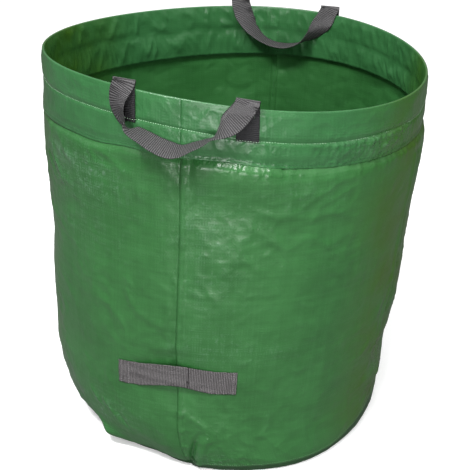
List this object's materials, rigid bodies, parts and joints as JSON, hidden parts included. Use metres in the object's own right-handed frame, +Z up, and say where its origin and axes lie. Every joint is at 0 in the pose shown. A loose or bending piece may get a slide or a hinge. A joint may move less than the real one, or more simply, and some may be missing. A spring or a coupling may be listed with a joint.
{
  "type": "garden waste bag",
  "caption": "Round standing garden waste bag of woven plastic cloth with a hooped rim, carrying handles over the rim and a low grab handle.",
  "frame": {"origin": "middle of the base's flat underside, on the ground", "axes": "+Z up; -Y towards the front, where the grab handle is; +X to the right seen from the front"},
  "size_m": [0.7117, 0.6712, 0.7611],
  "materials": {
    "green_cloth": "glossy laminated woven polypropylene, mid green",
    "grey_webbing": "dark grey ribbed webbing",
    "grab_tape": "mottled grey woven tape",
    "hoop_plastic": "off-white plastic strip, hidden in the hem",
    "green_thread": "pale green sewing thread",
    "grey_thread": "grey sewing thread"
  },
  "bodies": {
    "bag": {"base_panel": "green_cloth", "left_wall_panel": "green_cloth", "right_wall_panel": "green_cloth", "base_row": "green_thread", "front_seam_row": "green_thread", "back_seam_row": "green_thread"},
    "rim": {"left_hem": "green_cloth", "right_hem": "green_cloth", "rim_hoop": "hoop_plastic", "hem_row": "green_thread", "hem_edge_row": "green_thread", "front_handle_tab_left": "grey_webbing", "front_handle_tab_right": "grey_webbing", "back_handle_tab_left": "grey_webbing", "back_handle_tab_right": "grey_webbing"},
    "front_loop": {"front_handle_loop": "grey_webbing"},
    "back_loop": {"back_handle_loop": "grey_webbing"},
    "grab_ends": {"grab_handle_end_left": "grab_tape", "grab_handle_end_right": "grab_tape", "grab_handle_end_left_row_1": "grey_thread", "grab_handle_end_left_row_2": "grey_thread", "grab_handle_end_right_row_1": "grey_thread", "grab_handle_end_right_row_2": "grey_thread"},
    "grab_middle": {"grab_handle_span": "grab_tape"}
  },
  "joints": [
    {"name": "rim_collapse", "type": "slide", "parent": "bag", "child": "rim", "axis": [0, 0, -1], "range_m": [0, 0.525], "deforming": ["left_wall_panel", "right_wall_panel", "front_seam_row", "back_seam_row"]},
    {"name": "front_handle_swing", "type": "hinge", "parent": "rim", "child": "front_loop", "pos_m": [0.01077, -0.31052, 0.75094], "axis": [-0.9952, -0.0354, 0.0915], "range_deg": [0, 175]},
    {"name": "back_handle_swing", "type": "hinge", "parent": "rim", "child": "back_loop", "pos_m": [0.02012, 0.31605, 0.74157], "axis": [-0.9998, 0.0052, 0.0193], "range_deg": [0, 175]},
    {"name": "grab_handle_follow", "type": "slide", "parent": "bag", "child": "grab_ends", "axis": [0, 0, -1], "range_m": [0, 0.152]},
    {"name": "grab_handle_lift", "type": "hinge", "parent": "grab_ends", "child": "grab_middle", "pos_m": [-0.01684, -0.31641, 0.229], "axis": [-0.9989, -0.0127, -0.044], "range_deg": [0, 75]}
  ],
  "couplings": [
    {"joint": "grab_handle_follow", "follows": "rim_collapse", "ratio": 0.2892}
  ]
}
